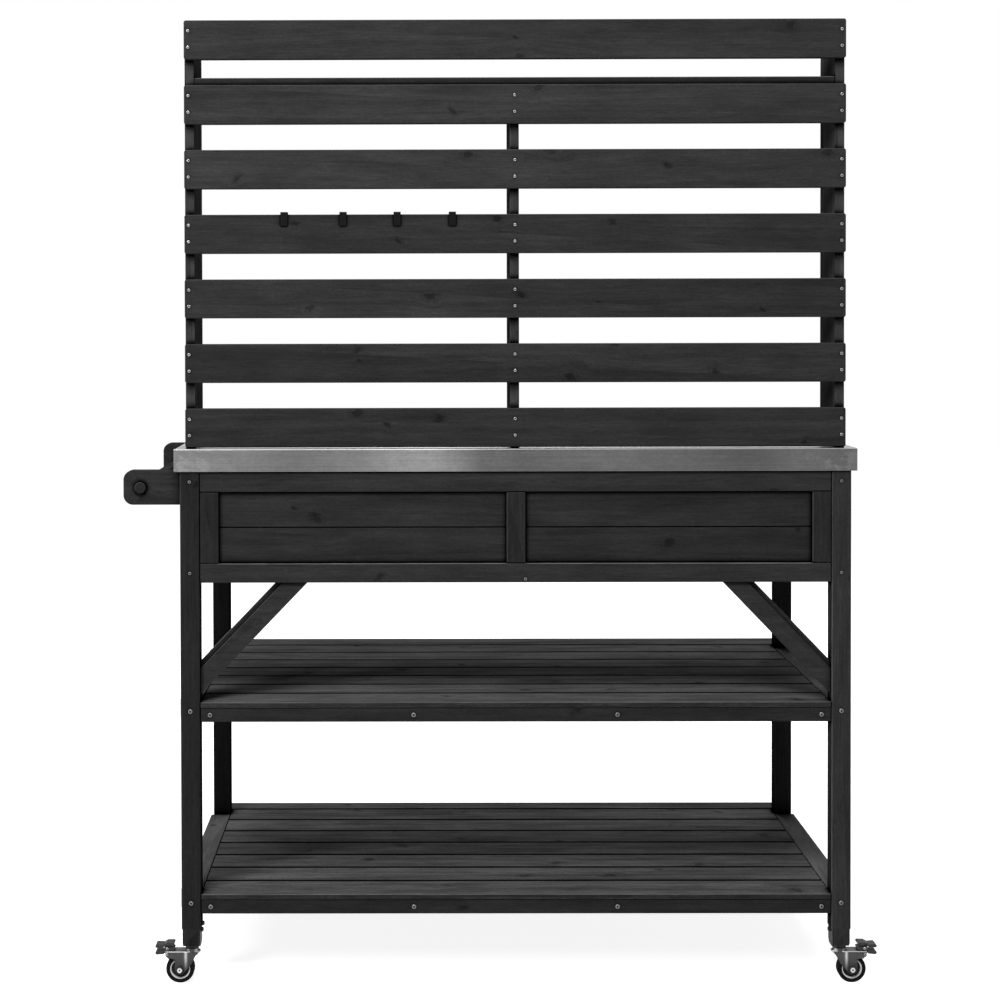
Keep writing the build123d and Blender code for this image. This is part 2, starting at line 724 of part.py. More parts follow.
def make_axle(x, y, heading):
    """Axle bolt with a nut at each end, tight in the fork arms."""
    elevation = side_plane(x, y, heading)
    outer = fork_in / 2 + fork_sheet
    with BuildPart() as axle:
        with BuildSketch(elevation):
            with Locations((trail, wheel_r)):
                Circle(axle_d / 2)
        extrude(amount=outer, both=True)
        for side in (-1, 1):
            with BuildSketch(elevation.offset(side * outer)):
                with Locations((trail, wheel_r)):
                    RegularPolygon(nut_af / 2, 6, major_radius=False)
            extrude(amount=side * nut_h)
    return axle


def make_wheel(x, y, heading):
    """Moulded core: thin web, bored hub with its spacer, and a rim that carries the tyre."""
    elevation = side_plane(x, y, heading)
    rim_out = wheel_r - tyre_t
    steps = ((web_t / 2, rim_out), (wheel_w / 2 - hub_in, hub_r), (fork_in / 2 - spacer_gap, spacer_r))
    with BuildPart() as wheel:
        for half_width, radius in steps:
            with BuildSketch(elevation):
                with Locations((trail, wheel_r)):
                    Circle(radius)
            extrude(amount=half_width, both=True)
        with BuildSketch(elevation):
            with Locations((trail, wheel_r)):
                Circle(rim_out)
                Circle(rim_out - rim_t, mode=Mode.SUBTRACT)
        extrude(amount=wheel_w / 2 - rim_in, both=True)
        with BuildSketch(elevation):
            with Locations((trail, wheel_r)):
                Circle(axle_d / 2 + run_fit)
        extrude(amount=wheel_w, both=True, mode=Mode.SUBTRACT)
    return wheel


def make_tyre(x, y, heading):
    """Rubber tread with rounded shoulders, seated on the rim."""
    elevation = side_plane(x, y, heading)
    with BuildPart() as tyre:
        with BuildSketch(elevation):
            with Locations((trail, wheel_r)):
                Circle(wheel_r)
                Circle(wheel_r - tyre_t, mode=Mode.SUBTRACT)
        extrude(amount=wheel_w / 2, both=True)
        rims = tyre.edges().filter_by(GeomType.CIRCLE).group_by(SortBy.RADIUS)[-1]
        fillet(rims, tyre_round)
    return tyre


def make_lever(x, y, heading):
    """Brake lever on its pin: boss, brake toe, web, and a plate into each tread and heel."""
    elevation = side_plane(x, y, heading)
    half = lever_t / 2
    web = (pedal_pin_x + lever_web, pedal_pin_x + lever_web + lever_t)
    boss_r = pedal_pin_d / 2 + lever_boss
    reach = math.hypot(pedal_pin_x - trail, pedal_pin_z - wheel_r)
    to_axle = math.degrees(math.atan2(wheel_r - pedal_pin_z, trail - pedal_pin_x))
    toe = wheel_r + brake_gap
    with BuildPart() as lever:
        with BuildSketch(elevation):
            with Locations((pedal_pin_x, pedal_pin_z)):
                Circle(boss_r)
            with Locations(((pedal_pin_x + web[1]) / 2, lock_z)):
                Rectangle(web[1] - pedal_pin_x, lever_t)
            with Locations((mid(web), lock_z - half)):
                Rectangle(lever_t, heels_z[1] - lock_z + lever_t, align=(Align.CENTER, Align.MIN))
            for z in treads_z:
                with Locations((web[0], z)):
                    Rectangle(pedal_tip - cap_bite - web[0], lever_t, align=(Align.MIN, Align.CENTER))
            for z in heels_z:
                with Locations((web[1], z)):
                    Rectangle(web[1] - pedal_heel - heel_bite, lever_t, align=(Align.MAX, Align.CENTER))
            # the toe stands off the boss, beside the line from the pin to the axle
            with Locations(Location((pedal_pin_x, pedal_pin_z, 0), to_axle)):
                with Locations((0, -boss_r)):
                    Rectangle(reach - wheel_r, boss_r + toe_back, align=(Align.MIN, Align.MIN))
            with Locations((trail, wheel_r)):
                Circle(toe, mode=Mode.SUBTRACT)
        extrude(amount=lever_w / 2, both=True)
        with BuildSketch(elevation):
            with Locations((pedal_pin_x, pedal_pin_z)):
                Circle(pedal_pin_d / 2)
        extrude(amount=fork_in / 2 + fork_sheet + pedal_pin_head, both=True)
    return lever


def make_treads(x, y, heading):
    """Moulded caps pushed over the lever's plates: tapered treads and their raised heels."""
    elevation = side_plane(x, y, heading)
    web = (pedal_pin_x + lever_web - wood_fit, pedal_pin_x + lever_web + lever_t + wood_fit)
    slot_t = lever_t + 2 * wood_fit
    slot_w = lever_w + 2 * wood_fit
    caps = []
    for z in treads_z:
        ends = (web[1] + root_r, pedal_tip - tip_r)
        caps.append((z, ends, (root_r, tip_r), (web[1], pedal_tip - cap_bite + wood_fit)))
    for z in heels_z:
        ends = (pedal_heel + heel_r, web[0] - root_r)
        caps.append((z, ends, (heel_r, root_r), (pedal_heel + heel_bite - wood_fit, web[0])))
    with BuildPart() as treads:
        for z, ends, radii, slot in caps:
            with BuildSketch(elevation):
                for end, radius in zip(ends, radii):
                    with Locations((end, z)):
                        Circle(radius)
                make_hull()
            extrude(amount=lever_w / 2 + cap_wall, both=True)
            with BuildSketch(elevation):
                with Locations((mid(slot), z)):
                    Rectangle(span(slot), slot_t)
            extrude(amount=slot_w / 2, both=True, mode=Mode.SUBTRACT)
    return treads


# the back pair trails outward and has brakes, the front pair trails forward and has none
casters = {
    "back_left": (leg_x["left"], leg_y["back"], 180, True),
    "back_right": (leg_x["right"], leg_y["back"], 0, True),
    "front_left": (leg_x["left"], leg_y["front"], 90, False),
    "front_right": (leg_x["right"], leg_y["front"], 90, False),
}
for name, (x, y, heading, braked) in casters.items():
    keep(make_fork(x, y, heading, braked), f"caster_fork_{name}")
    keep(make_axle(x, y, heading), f"caster_axle_{name}")
    keep(make_wheel(x, y, heading), f"caster_wheel_{name}")
    keep(make_tyre(x, y, heading), f"caster_tyre_{name}")
    if braked:
        keep(make_lever(x, y, heading), f"brake_lever_{name}")
        keep(make_treads(x, y, heading), f"brake_treads_{name}")


# ----------------------------------------------------------------------- screws
def heads(places, diameter, collar, crown):
    """Screw heads with a bevelled crown; each place is a plane on the face the head lies on."""
    with BuildPart() as group:
        for place in places:
            if collar:
                with BuildSketch(place):
                    Circle(diameter / 2)
                extrude(amount=collar)
            with BuildSketch(place.offset(collar)):
                Circle(diameter / 2)
            extrude(amount=crown, taper=head_taper)
    return group


def back_face(x, z, y):
    """Plane on a face that looks to the back."""
    return Plane(origin=(x, y, z), x_dir=(1, 0, 0), z_dir=(0, -1, 0))


slat_screws = []
for i, top in enumerate(slat_tops):
    columns = list(side_mids) + ([x_mid] if i else [])
    for x in columns:
        for part_of in (slat_screw_high, slat_screw_low):
            slat_screws.append(back_face(x, top - part_of * slat_h, slat_face))

frame_screws = []
leg_screws_z = (mid(top_rail_z), mid(bottom_rail_z), mid_deck - deck_screw_drop, low_deck - deck_screw_drop)
for x in both(leg_mid):
    for z in leg_screws_z:
        frame_screws.append(back_face(x, z, y_back))
for level in (low_deck, mid_deck):
    for step in bearer_steps:
        x = x_mid + step * (leg_in - seam - deck_bearer_w / 2)
        frame_screws.append(back_face(x, level - deck_t - deck_rail_h / 2, y_back + face_set))
frame_screws.append(back_face(x_mid + odd_screw[0], apron_low + odd_screw[1], y_back + face_set))
keep(heads(slat_screws + frame_screws, screw_head_d, 0.0, screw_head_h), "wood_screws")

# inner side of each leg: one through the ear, and a second one above it on the back left leg
ear_screws = []
for end, x in leg_x.items():
    inward = 1 if end == "left" else -1
    for row, y in leg_y.items():
        seats = [(socket_out, leg_foot + ear_screw_up[0])]
        if (row, end) == ("back", "left"):
            seats.append((leg / 2, leg_foot + ear_screw_up[1]))
        for out, z in seats:
            origin = (x + inward * out, y, z)
            ear_screws.append(Plane(origin=origin, x_dir=(0, 1, 0), z_dir=(inward, 0, 0)))
keep(heads(ear_screws, socket_screw_d, socket_screw_collar, socket_screw_h - socket_screw_collar),
     "socket_screws")
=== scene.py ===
import math
import random
import bpy
import bmesh
from mathutils import Matrix, Vector


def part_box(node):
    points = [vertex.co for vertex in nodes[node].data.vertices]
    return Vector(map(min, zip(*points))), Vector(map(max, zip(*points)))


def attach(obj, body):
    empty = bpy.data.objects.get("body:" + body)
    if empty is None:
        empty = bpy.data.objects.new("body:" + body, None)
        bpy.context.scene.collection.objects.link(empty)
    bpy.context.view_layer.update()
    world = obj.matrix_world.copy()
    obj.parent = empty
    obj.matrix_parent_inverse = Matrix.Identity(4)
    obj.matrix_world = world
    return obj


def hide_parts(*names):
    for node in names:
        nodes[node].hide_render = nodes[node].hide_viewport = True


# Potting bench, metres. -Y is the side in the photograph, the closed back of the bench.

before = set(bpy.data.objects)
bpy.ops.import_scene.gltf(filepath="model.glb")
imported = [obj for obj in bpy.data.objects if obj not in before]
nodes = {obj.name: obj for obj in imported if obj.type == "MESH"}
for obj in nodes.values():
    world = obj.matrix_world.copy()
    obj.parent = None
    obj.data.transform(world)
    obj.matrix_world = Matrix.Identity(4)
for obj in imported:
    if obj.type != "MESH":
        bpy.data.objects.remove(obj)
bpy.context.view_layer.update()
random.seed(7)


WELD = 1e-6


def solids(name):
    """The limits of every separate solid in a node, read from its welded mesh."""
    bm = bmesh.new()
    bm.from_mesh(nodes[name].data)
    bmesh.ops.remove_doubles(bm, verts=bm.verts, dist=WELD)
    left, found = set(bm.verts), []
    while left:
        queue = [left.pop()]
        low, high = queue[0].co.copy(), queue[0].co.copy()
        while queue:
            v = queue.pop()
            low, high = Vector(map(min, low, v.co)), Vector(map(max, high, v.co))
            for e in v.link_edges:
                other = e.other_vert(v)
                if other in left:
                    left.remove(other)
                    queue.append(other)
        found.append((low, high))
    bm.free()
    # a set hands its vertices out in another order each run, so the solids are put in order of place
    return sorted(found, key=lambda limits: tuple(round(v, 4) for v in limits[0]))


# ---------------------------------------------------------------- node helpers
class Tree:
    """Short calls for building a material's nodes."""

    def __init__(self, name, roughness=0.5, metallic=0.0):
        self.mat = bpy.data.materials.new(name)
        self.mat.use_nodes = True
        self.nt = self.mat.node_tree
        self.bsdf = self.nt.nodes["Principled BSDF"]
        self.bsdf.inputs["Roughness"].default_value = roughness
        self.bsdf.inputs["Metallic"].default_value = metallic

    def node(self, kind, **settings):
        made = self.nt.nodes.new(kind)
        for key, value in settings.items():
            setattr(made, key, value)
        return made

    def put(self, socket, value):
        if hasattr(value, "is_output"):
            self.nt.links.new(value, socket)
        else:
            socket.default_value = value

    def math(self, op, a, b=None, c=None, clamp=False):
        n = self.node("ShaderNodeMath", operation=op, use_clamp=clamp)
        for socket, value in zip(n.inputs, (a, b, c)):
            if value is not None:
                self.put(socket, value)
        return n.outputs[0]

    def vec(self, op, a, b=None, scale=None):
        n = self.node("ShaderNodeVectorMath", operation=op)
        self.put(n.inputs[0], a)
        if b is not None:
            self.put(n.inputs[1], b)
        if scale is not None:
            self.put(n.inputs["Scale"], scale)
        return n.outputs["Value"] if op in ("LENGTH", "DISTANCE", "DOT_PRODUCT") else n.outputs[0]

    def xyz(self, v):
        n = self.node("ShaderNodeSeparateXYZ")
        self.put(n.inputs[0], v)
        return n.outputs

    def join(self, x, y, z):
        n = self.node("ShaderNodeCombineXYZ")
        for socket, value in zip(n.inputs, (x, y, z)):
            self.put(socket, value)
        return n.outputs[0]

    def noise(self, v, scale=1.0, detail=3.0, rough=0.5):
        n = self.node("ShaderNodeTexNoise")
        self.put(n.inputs["Vector"], v)
        self.put(n.inputs["Scale"], scale)
        self.put(n.inputs["Detail"], detail)
        self.put(n.inputs["Roughness"], rough)
        return n.outputs["Fac"]

    def ramp(self, fac, stops):
        n = self.node("ShaderNodeValToRGB")
        elements = n.color_ramp.elements
        while len(elements) < len(stops):
            elements.new(0.5)
        for e, (pos, value) in zip(elements, stops):
            e.position = pos
            e.color = (value, value, value, 1)
        self.put(n.inputs[0], fac)
        return n.outputs[0]

    def span(self, value, a, b, c=0.0, d=1.0, smooth=False):
        n = self.node("ShaderNodeMapRange")
        if smooth:
            n.interpolation_type = "SMOOTHSTEP"
        self.put(n.inputs["Value"], value)
        for key, x in (("From Min", a), ("From Max", b), ("To Min", c), ("To Max", d)):
            self.put(n.inputs[key], x)
        return n.outputs["Result"]

    def bump(self, height, strength=0.3, distance=0.001, flat=False):
        n = self.node("ShaderNodeBump")
        n.inputs["Strength"].default_value = strength
        n.inputs["Distance"].default_value = distance
        self.put(n.inputs["Height"], height)
        if flat:
            self.put(n.inputs["Normal"], true_normal(self))
        self.put(self.bsdf.inputs["Normal"], n.outputs[0])

    def grey(self, value):
        """The value as a neutral base colour."""
        self.put(self.bsdf.inputs["Base Color"], self.join(value, value, value))


def true_normal(t):
    """The face's own direction, before any bump."""
    return t.node("ShaderNodeNewGeometry").outputs["True Normal"]


def open_corner(t):
    """1 on the rounded or planed-off corners, 0 on faces square to the axes."""
    n = t.xyz(t.vec("ABSOLUTE", true_normal(t)))
    face = t.math("MAXIMUM", n[0], t.math("MAXIMUM", n[1], n[2]))
    return t.span(face, 0.75, 0.95, 1.0, 0.0)


def edge(t, radius=0.0009):
    """Mask for painted highlights: 1 along the edges of the mesh that look up or to the left, less on the others,
    0 on the flats.
    """
    n = t.node("ShaderNodeBevel", samples=4)
    n.inputs["Radius"].default_value = radius
    near = t.span(t.vec("DOT_PRODUCT", n.outputs[0], true_normal(t)), 0.93, 0.995, 1.0, 0.0)
    x, _, z = t.xyz(n.outputs[0])
    lift = t.span(t.math("SUBTRACT", z, t.math("MULTIPLY", x, 0.5)), 0.12, 0.45, 0.12, 1.0)
    return t.math("MULTIPLY", t.math("MAXIMUM", near, open_corner(t)), lift)


def shade_in_corners(t, reach=0.009):
    """1 in the open, towards 0 in joints, gaps and inner corners; multiplied into a colour, it paints the shade
    that falls there.
    """
    n = t.node("ShaderNodeAmbientOcclusion", samples=6)
    n.inputs["Distance"].default_value = reach
    return n.outputs["AO"]


KNOT_CELLS = (4.8, 14.0)    # cells to a metre along and across the grain, at most one knot in each
JOINT_DARK = (0.0028, 0.0062)    # from a joint's middle: black as far as the first, clear from the second
FRONT_BOARD = 0.06    # the boards before the first joint have no groove at their free edge


def stained(name, along, across, tone, seed, roughness=0.7, contrast=1.0, edge_highlight=1.0, joints=None, front_face_shade=1.0,
            lighter_upwards=None, lit=0.0, corner_shade=1.0):
    """Black-stained softwood: the grain runs along one axis, knots lie in the along-across plane.

    edge_highlight sets the painted highlight on open edges, joints is the first gap between deck boards and their
    pitch, front_face_shade sets the painted shade on the faces that look along -Y, lighter_upwards is the height
    range over which painted light makes the wood lighter towards the top, lit paints light on faces that slope
    upwards, and corner_shade scales the painted shade in joints and corners.
    """
    t = Tree(name, roughness)
    t.bsdf.inputs["Specular IOR Level"].default_value = 0.0
    place = t.node("ShaderNodeTexCoord").outputs["Object"]
    board = t.node("ShaderNodeNewGeometry").outputs["Random Per Island"]
    x, y, z = t.xyz(place)
    axis = {"X": x, "Y": y, "Z": z}
    third = next(a for a in "XYZ" if a not in (along, across))
    shift = t.math("MULTIPLY_ADD", board, 37.0, seed)
    u = t.math("ADD", axis[along], shift)
    v = t.math("ADD", axis[across], t.math("MULTIPLY", shift, 0.37))
    w = axis[third]

    def field(a, b, c, detail=2.0, rough=0.5):
        """Noise with its own frequency along the grain, across it and through the board."""
        return t.noise(t.join(t.math("MULTIPLY", u, a), t.math("MULTIPLY", v, b), t.math("MULTIPLY", w, c)),
                       detail=detail, rough=rough)

    # knots: ragged, with the grain bending round them
    cell = t.node("ShaderNodeTexVoronoi", voronoi_dimensions="2D")
    t.put(cell.inputs["Vector"],
          t.join(t.math("MULTIPLY", u, KNOT_CELLS[0]), t.math("MULTIPLY", v, KNOT_CELLS[1]), 0.0))
    cell.inputs["Scale"].default_value = 1.0
    cell.inputs["Randomness"].default_value = 0.9
    cx, cy, _ = t.xyz(cell.outputs["Position"])
    du = t.math("SUBTRACT", u, t.math("DIVIDE", cx, KNOT_CELLS[0]))
    dv = t.math("SUBTRACT", v, t.math("DIVIDE", cy, KNOT_CELLS[1]))
    lot, size, turn = t.xyz(cell.outputs["Color"])
    has = t.math("GREATER_THAN", lot, 0.5)
    radius = t.span(size, 0.0, 1.0, 0.0035, 0.009)
    ragged = field(170.0, 210.0, 40.0, 3.0, 0.7)
    slant = t.math("MULTIPLY", du, t.span(turn, 0.0, 1.0, -0.6, 0.6))
    far = t.math("SQRT", t.math("ADD", t.math("POWER", t.math("MULTIPLY", du, 0.75), 2.0),
                                t.math("POWER", t.math("ADD", dv, slant), 2.0)))
    rel = t.math("ADD", t.math("DIVIDE", far, radius), t.span(ragged, 0.25, 0.75, -0.7, 0.7))
    fading = t.math("EXPONENT", t.math("MULTIPLY", t.math("POWER", rel, 2.0), -0.16))
    near = t.math("MULTIPLY", has, fading)
    core = t.math("MULTIPLY", has, t.span(rel, 0.1, 1.7, 1.0, 0.0, smooth=True))
    halo = t.math("MULTIPLY", near, t.math("SINE", t.math("MULTIPLY", rel, 7.0)))
    bent = t.math("SUBTRACT", v, t.math("MULTIPLY", t.math("MULTIPLY", dv, near), 0.8))

    # slow wander of the grain, growth bands, pores, mottled stain, dry-brushed streaks
    wander = t.math("MULTIPLY", t.math("SUBTRACT", field(1.7, 5.0, 1.0), 0.5), 0.05)
    lane = t.math("ADD", bent, wander)
    bands = t.noise(t.join(t.math("MULTIPLY", u, 1.2), t.math("MULTIPLY", lane, 110.0),
                           t.math("MULTIPLY", w, 40.0)), detail=3.0, rough=0.6)
    pores = t.noise(t.join(t.math("MULTIPLY", u, 28.0), t.math("MULTIPLY", lane, 420.0),
                           t.math("MULTIPLY", w, 300.0)), detail=3.0, rough=0.65)
    mottle = field(150.0, 260.0, 150.0, 3.0, 0.7)
    patch = field(7.0, 26.0, 3.0, 3.0, 0.6)
    streak = field(20.0, 230.0, 90.0, 2.0, 0.8)

    k = contrast
    shade = t.span(bands, 0.3, 0.7, 1.0 - 0.17 * k, 1.0 + 0.17 * k)
    shade = t.math("MULTIPLY", shade, t.span(pores, 0.3, 0.7, 1.0 - 0.16 * k, 1.0 + 0.16 * k))
    shade = t.math("MULTIPLY", shade, t.span(mottle, 0.3, 0.7, 1.0 - 0.14 * k, 1.0 + 0.14 * k))
    shade = t.math("MULTIPLY", shade, t.span(patch, 0.3, 0.7, 1.0 - 0.2 * k, 1.0 + 0.2 * k))
    shade = t.math("MULTIPLY", shade, t.span(board, 0.0, 1.0, 0.88, 1.12))
    dry = t.math("MULTIPLY", t.span(streak, 0.62, 0.8, 0.0, 0.35), t.span(patch, 0.42, 0.62, 0.0, 1.0))
    shade = t.math("ADD", shade, t.math("MULTIPLY", dry, k))
    shade = t.math("ADD", shade, t.math("MULTIPLY", halo, 0.15))
    shade = t.math("MULTIPLY", shade, t.math("SUBTRACT", 1.0, t.math("MULTIPLY", core, 0.5)))

    # end grain: darker, with growth rings round a pith outside the board
    facing = t.xyz(t.vec("ABSOLUTE", true_normal(t)))["XYZ".index(along)]
    end = t.span(facing, 0.85, 0.95, 0.0, 1.0)
    pith = t.vec("LENGTH", t.join(0.0, t.math("ADD", axis[across], t.math("MULTIPLY", board, 0.09)),
                                  t.math("ADD", w, 0.03)))
    rings = t.math("SINE", t.math("ADD", t.math("MULTIPLY", pith, 2100.0), t.math("MULTIPLY", mottle, 6.0)))
    cut = t.math("MULTIPLY", t.span(rings, -1.0, 1.0, 0.5, 0.9), t.span(mottle, 0.3, 0.7, 0.8, 1.2))
    shade = t.math("MULTIPLY", shade, t.math("SUBTRACT", 1.0, end))
    shade = t.math("ADD", shade, t.math("MULTIPLY", cut, end))

    # painted highlights where open edges catch the light; below, dark joints, painted light and painted shade
    gap_shade = shade_in_corners(t)
    painted_highlight = t.math("MULTIPLY", edge(t), t.span(gap_shade, 0.75, 0.97, 0.0, 1.0))
    painted_highlight = t.math("MULTIPLY", painted_highlight, t.span(streak, 0.3, 0.7, 0.4, 1.2))
    shade = t.math("ADD", shade, t.math("MULTIPLY", painted_highlight, edge_highlight))
    if joints:
        first, pitch = joints
        off = t.math("PINGPONG", t.math("SUBTRACT", y, first), pitch / 2)
        waver = t.span(bands, 0.3, 0.7, -0.0006, 0.0006)
        groove = t.span(t.math("ADD", off, waver), *JOINT_DARK)
        free = t.math("LESS_THAN", y, first - FRONT_BOARD)
        shade = t.math("MULTIPLY", shade, t.math("MAXIMUM", groove, free))
    # painted light: lighter towards the top, darker towards the bottom
    if lighter_upwards:
        shade = t.math("MULTIPLY", shade, t.span(z, lighter_upwards[0], lighter_upwards[1], 0.82, 1.04))
    # painted shade on the faces that look along -Y
    if front_face_shade != 1.0:
        n = t.xyz(true_normal(t))
        shade = t.math("MULTIPLY", shade, t.span(n[1], -0.9, -0.6, front_face_shade, 1.0))
    # painted shade: darker in joints, gaps and inner corners, close in and, fainter, further out
    shade = t.math("MULTIPLY", shade, t.span(gap_shade, 0.66, 1.0, 1.0 - 0.98 * corner_shade, 1.0))
    shade = t.math("MULTIPLY", shade, t.span(shade_in_corners(t, 0.03), 0.4, 0.95, 1.0 - 0.7 * corner_shade, 1.0))
    # painted light on faces that slope upwards
    if lit:
        n = t.xyz(true_normal(t))
        shade = t.math("ADD", shade, t.span(n[2], 0.4, 0.65, 0.0, lit))
    t.grey(t.math("MULTIPLY", shade, tone))
    t.put(t.bsdf.inputs["Roughness"],
          t.span(t.math("ADD", pores, patch), 0.7, 1.3, roughness + 0.1, roughness - 0.1))
    height = t.math("ADD", t.math("MULTIPLY", bands, 0.5), t.math("MULTIPLY", pores, 0.7))
    t.bump(t.math("SUBTRACT", height, t.math("MULTIPLY", core, 0.8)), 0.3, 0.0006, flat=True)
    return t.mat


# painted reflections: the sheet's brightness from its left end (0) to its right end (1), as soft reflections of
# the room cross it
SHEEN = ((0.0, 0.173), (0.08, 0.165), (0.18, 0.124), (0.27, 0.162), (0.33, 0.217), (0.385, 0.239), (0.41, 0.190),
         (0.45, 0.109), (0.52, 0.095), (0.63, 0.114), (0.70, 0.106), (0.84, 0.076), (0.93, 0.113), (1.0, 0.097))


def brushed_sheet(name):
    """Folded steel sheet: brushed lengthwise, smeared near its ends, painted highlights on the folds, painted
    shade in gaps.
    """
    t = Tree(name, 0.42, 0.7)
    x, y, z = t.xyz(t.node("ShaderNodeTexCoord").outputs["Object"])
    low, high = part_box("worktop_sheet")
    along = t.span(x, low[0], high[0])
    sheen = t.ramp(along, SHEEN)
    brush = t.noise(t.join(t.math("MULTIPLY", x, 4.0), t.math("MULTIPLY", y, 520.0), t.math("MULTIPLY", z, 520.0)),
                    detail=3.0, rough=0.7)
    grain = t.noise(t.join(t.math("MULTIPLY", x, 160.0), t.math("MULTIPLY", y, 200.0),
                           t.math("MULTIPLY", z, 260.0)), detail=3.0, rough=0.6)
    cloud = t.noise(t.join(t.math("MULTIPLY", x, 36.0), t.math("MULTIPLY", y, 30.0), t.math("MULTIPLY", z, 60.0)),
                    detail=4.0, rough=0.65)
    ends = t.math("ADD", t.span(along, 0.0, 0.09, 1.0, 0.0), t.span(along, 0.9, 0.96, 0.0, 1.0))
    smear = t.math("MULTIPLY", t.span(cloud, 0.5, 0.6, 0.0, 0.35), ends)
    value = t.math("MULTIPLY", t.span(brush, 0.3, 0.7, 0.88, 1.12), t.span(grain, 0.3, 0.7, 0.9, 1.1))
    value = t.math("MULTIPLY", value, t.math("ADD", t.span(cloud, 0.3, 0.7, 0.92, 1.08), smear))
    value = t.math("MULTIPLY", sheen, value)
    # painted highlight along the folds
    fold_highlight = t.math("MAXIMUM", open_corner(t), edge(t, 0.0016))
    fold_highlight = t.math("MULTIPLY", fold_highlight, t.span(brush, 0.3, 0.7, 0.3, 0.5))
    # painted shade where other parts stand close
    t.grey(t.math("MULTIPLY", t.math("ADD", value, fold_highlight), t.span(shade_in_corners(t, 0.006), 0.3, 0.9, 0.3, 1.0)))
    t.put(t.bsdf.inputs["Roughness"], t.span(cloud, 0.3, 0.7, 0.36, 0.5))
    t.bump(t.math("ADD", brush, t.math("MULTIPLY", grain, 0.5)), 0.1, 0.0003)
    return t.mat


# width of the painted highlight up the fork's bend
BEND_HIGHLIGHT_WIDTH = 0.0022


def metal(name, tone, roughness, metallic=1.0, corner=0.0, gap_shade=0.35, rim=0.0, bend_highlight=None):
    """Plated steel: cloudy and finely pitted, with painted highlights on its bends and cut edges.

    corner and rim set the painted highlights on bends and cut edges, gap_shade is what is left of the brightness
    in tight gaps under the painted shade, and bend_highlight is the x of a painted upright highlight with the
    heights at which it starts and is full, over which the plate is also painted from darker below to lighter
    above.
    """
    t = Tree(name, roughness, metallic)
    t.bsdf.inputs["Specular IOR Level"].default_value = 0.1
    place = t.node("ShaderNodeTexCoord").outputs["Object"]
    coarse = t.noise(place, 110.0, 4.0, 0.6)
    fine = t.noise(place, 900.0, 2.0, 0.5)
    value = t.math("MULTIPLY", t.span(coarse, 0.3, 0.7, tone * 0.85, tone * 1.15),
                   t.span(fine, 0.3, 0.7, 0.9, 1.1))
    # painted highlight on bends and rounded corners
    if corner:
        value = t.math("ADD", value, t.math("MULTIPLY", open_corner(t), corner))
    # painted highlight up the fork's bend, with the plate painted darker towards the bottom and lighter towards
    # the top
    if bend_highlight:
        at, low, high = bend_highlight
        x, _, z = t.xyz(place)
        n = t.xyz(t.vec("ABSOLUTE", true_normal(t)))[1]
        off = t.math("DIVIDE", t.math("SUBTRACT", x, at), BEND_HIGHLIGHT_WIDTH)
        shine = t.math("EXPONENT", t.math("MULTIPLY", t.math("MULTIPLY", off, off), -1.0))
        shine = t.math("MULTIPLY", shine, t.span(z, low, high, 0.04, 0.46, smooth=True))
        value = t.math("ADD", value, t.math("MULTIPLY", shine, t.span(n, 0.8, 0.95)))
        value = t.math("MULTIPLY", value, t.span(z, low, high, 0.45, 1.15))
    # painted highlight along edges that look up or to the left
    if rim:
        value = t.math("ADD", value, t.math("MULTIPLY", edge(t, 0.0007), rim))
    # painted shade in tight gaps
    t.grey(t.math("MULTIPLY", value, t.span(shade_in_corners(t, 0.004), 0.3, 0.95, gap_shade, 1.0)))
    t.put(t.bsdf.inputs["Roughness"], t.span(coarse, 0.3, 0.7, roughness + 0.08, roughness - 0.06))
    t.bump(fine, 0.08, 0.0003)
    return t.mat


def moulded(name, tone, roughness, specular, corner=0.0):
    """Moulded plastic or rubber: a fine spark-eroded grain, a little dust, painted shade in gaps, painted
    highlights on corners.
    """
    t = Tree(name, roughness)
    t.bsdf.inputs["Specular IOR Level"].default_value = specular
    place = t.node("ShaderNodeTexCoord").outputs["Object"]
    grain = t.noise(place, 1800.0, 2.0, 0.5)
    cloud = t.noise(place, 60.0, 3.0, 0.5)
    dust = t.noise(place, 240.0, 4.0, 0.7)
    value = t.math("MULTIPLY", t.span(cloud, 0.3, 0.7, tone * 0.85, tone * 1.15),
                   t.span(dust, 0.3, 0.7, 0.85, 1.2))
    # painted highlight on rounded corners
    if corner:
        value = t.math("ADD", value, t.math("MULTIPLY", open_corner(t), corner))
    # painted shade in gaps and corners
    t.grey(t.math("MULTIPLY", value, t.span(shade_in_corners(t, 0.004), 0.3, 0.9, 0.3, 1.0)))
    t.put(t.bsdf.inputs["Roughness"], t.span(cloud, 0.3, 0.7, roughness - 0.05, roughness + 0.07))
    t.bump(grain, 0.15, 0.0002)
    return t.mat


def turned(name, centre, ring, dark=0.018, bright=0.8):
    """A turned or moulded wheel part seen along its axis: one bright ring on a dark ground."""
    t = Tree(name, 0.4)
    t.bsdf.inputs["Specular IOR Level"].default_value = 0.05
    place = t.node("ShaderNodeTexCoord").outputs["Object"]
    x, _, z = t.xyz(place)
    radius = t.vec("LENGTH", t.join(t.math("SUBTRACT", x, centre[0]), 0.0, t.math("SUBTRACT", z, centre[2])))
    cloud = t.noise(place, 150.0, 3.0, 0.6)
    soft = 0.0002
    inside, outside = (t.span(radius, at - soft, at + soft) for at in ring)
    band = t.math("SUBTRACT", inside, outside)
    value = t.math("MULTIPLY_ADD", band, bright, dark)
    t.grey(t.math("MULTIPLY", value, t.span(cloud, 0.3, 0.7, 0.85, 1.15)))
    t.put(t.bsdf.inputs["Roughness"], t.span(cloud, 0.3, 0.7, 0.32, 0.5))
    t.bump(t.noise(place, 1500.0, 2.0, 0.5), 0.12, 0.0002)
    return t.mat


